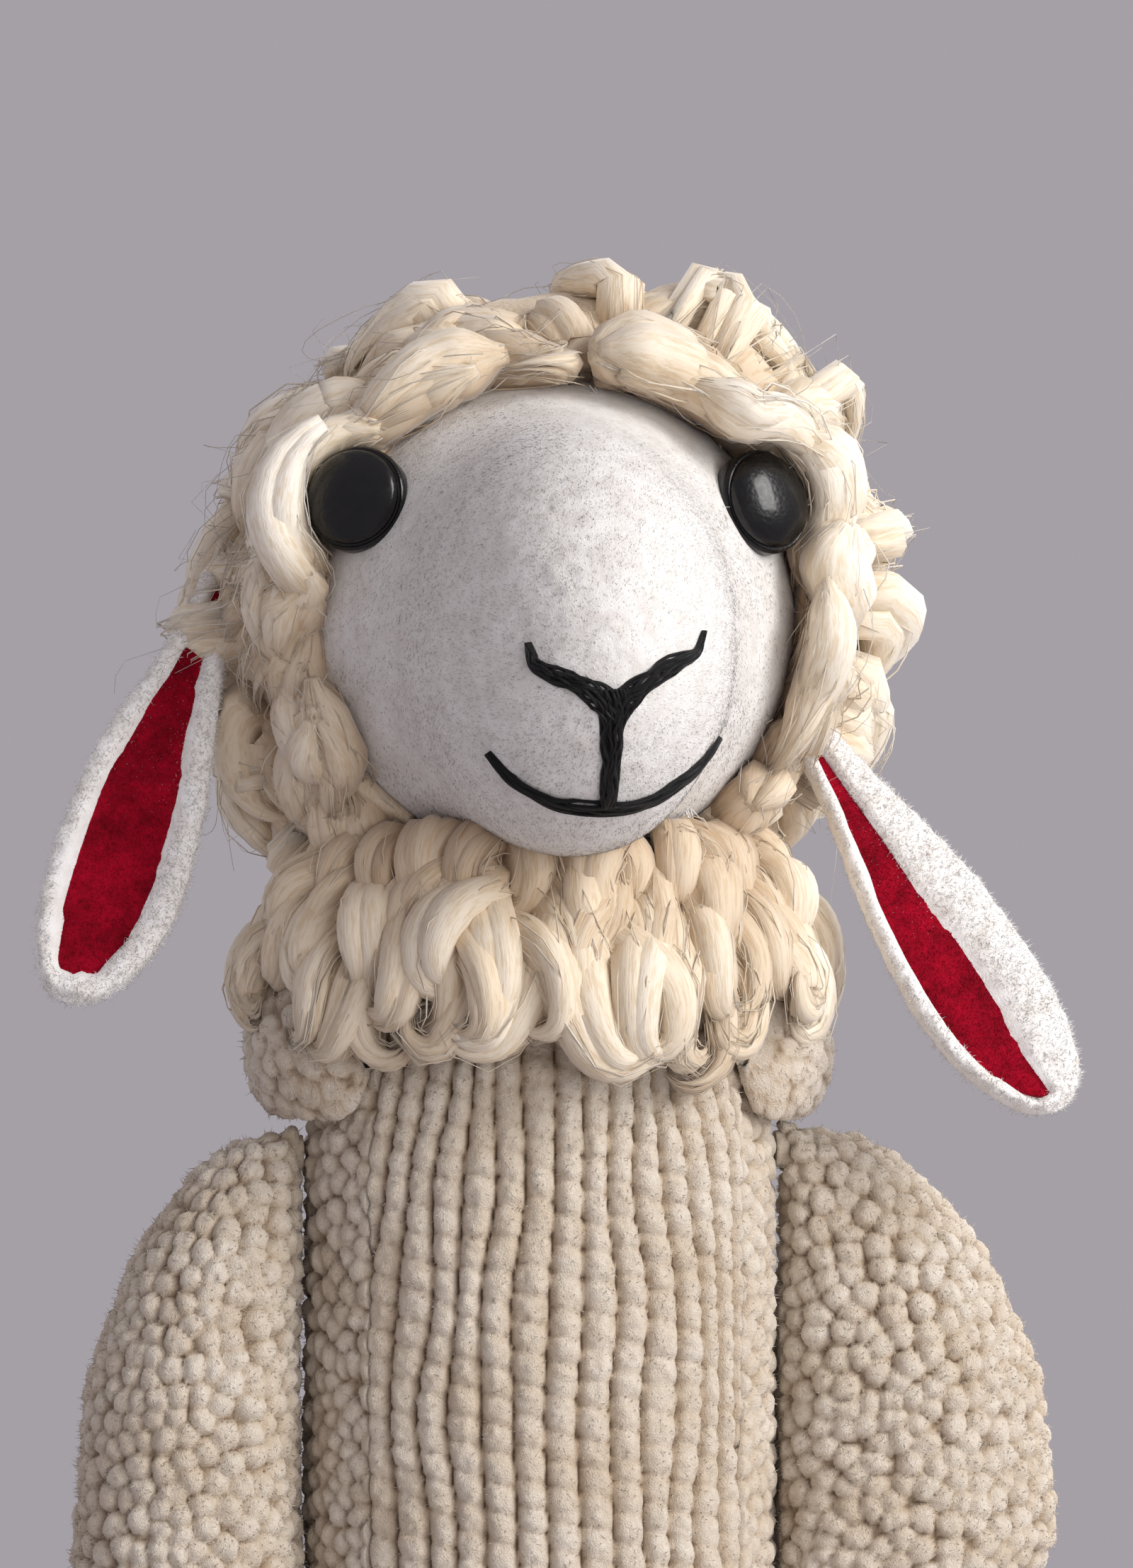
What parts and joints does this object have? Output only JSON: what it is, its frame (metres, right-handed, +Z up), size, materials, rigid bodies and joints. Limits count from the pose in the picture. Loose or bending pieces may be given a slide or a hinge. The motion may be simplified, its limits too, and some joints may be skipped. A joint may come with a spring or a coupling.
{
  "type": "sock puppet",
  "caption": "Soft sheep glove puppet: knitted tube body worn on the forearm, stuffed head with a finger pocket, curly fleece, hanging ears and stuffed arms.",
  "frame": {"origin": "centre of the hem's opening, on the plane of its lower edge", "axes": "+Z up the body to the head, -Y the way the face looks, +X the puppet's own left"},
  "size_m": [0.2211, 0.1686, 0.345],
  "materials": {
    "chenille_knit": "thick chenille yarn knit, soft matt pile",
    "cotton_lining": "plain woven cotton",
    "white_plush": "short sherpa plush, matt",
    "wool_fleece": "long curly wool, soft sheen",
    "red_velvet": "short velvet pile",
    "black_leather": "fine grain, satin",
    "black_plastic": "moulded, satin",
    "black_thread": "stranded embroidery thread, slight sheen",
    "stuffing": "polyester fibre fill",
    "plastic": "moulded, satin"
  },
  "bodies": {
    "body": {"body_front_panel": "chenille_knit", "body_back_panel": "chenille_knit", "body_lining": "cotton_lining", "hem_band": "chenille_knit", "neck_yoke": "cotton_lining", "neck_collar": "chenille_knit"},
    "neck": {"neck_sleeve": "chenille_knit", "fleece_ruff": "wool_fleece"},
    "hoop": {"neck_hoop": "plastic"},
    "head": {"face_cover": "white_plush", "head_back_cover": "cotton_lining", "head_stuffing": "stuffing", "muzzle_stuffing": "stuffing", "hand_pocket": "cotton_lining", "left_eye_dome": "black_leather", "left_eye_base": "black_plastic", "left_eye_washer": "plastic", "right_eye_dome": "black_leather", "right_eye_base": "black_plastic", "right_eye_washer": "plastic", "nose_stitching": "black_thread", "mouth_stitching": "black_thread", "fleece_crown": "wool_fleece", "fleece_left": "wool_fleece", "fleece_right": "wool_fleece", "fleece_back": "wool_fleece"},
    "left_ear": {"left_ear_back": "white_plush", "left_ear_lining": "red_velvet"},
    "right_ear": {"right_ear_back": "white_plush", "right_ear_lining": "red_velvet"},
    "left_shoulder": {"left_shoulder_tab": "chenille_knit"},
    "left_arm": {"left_arm_sleeve": "chenille_knit", "left_arm_stuffing": "stuffing"},
    "right_shoulder": {"right_shoulder_tab": "chenille_knit"},
    "right_arm": {"right_arm_sleeve": "chenille_knit", "right_arm_stuffing": "stuffing"}
  },
  "joints": [
    {"name": "head_turn", "type": "hinge", "parent": "body", "child": "neck", "pos_m": [0, 0, 0.2], "axis": [0, 0, 1], "range_deg": [-35, 35], "deforming": ["neck_sleeve"]},
    {"name": "head_tilt", "type": "hinge", "parent": "neck", "child": "hoop", "pos_m": [0, 0, 0.2], "axis": [0, 1, 0], "range_deg": [-15, 15], "deforming": ["fleece_ruff"]},
    {"name": "head_nod", "type": "hinge", "parent": "hoop", "child": "head", "pos_m": [0, 0, 0.2], "axis": [1, 0, 0], "range_deg": [-20, 20]},
    {"name": "left_ear_lift", "type": "hinge", "parent": "head", "child": "left_ear", "pos_m": [0.05673, -0.00617, 0.241], "axis": [0, -0.9511, 0.309], "range_deg": [0, 70]},
    {"name": "right_ear_lift", "type": "hinge", "parent": "head", "child": "right_ear", "pos_m": [-0.06789, 0.00357, 0.271], "axis": [0, 0.9511, -0.309], "range_deg": [0, 70]},
    {"name": "left_arm_swing", "type": "hinge", "parent": "body", "child": "left_shoulder", "pos_m": [0.0528, 0, 0.149], "axis": [-1, 0, 0], "range_deg": [-25, 70]},
    {"name": "left_arm_raise", "type": "hinge", "parent": "left_shoulder", "child": "left_arm", "pos_m": [0.0545, 0, 0.1535], "axis": [0, -1, 0], "range_deg": [0, 60]},
    {"name": "right_arm_swing", "type": "hinge", "parent": "body", "child": "right_shoulder", "pos_m": [-0.0528, 0, 0.149], "axis": [-1, 0, 0], "range_deg": [-25, 70]},
    {"name": "right_arm_raise", "type": "hinge", "parent": "right_shoulder", "child": "right_arm", "pos_m": [-0.0545, 0, 0.1535], "axis": [0, 1, 0], "range_deg": [0, 60]}
  ]
}
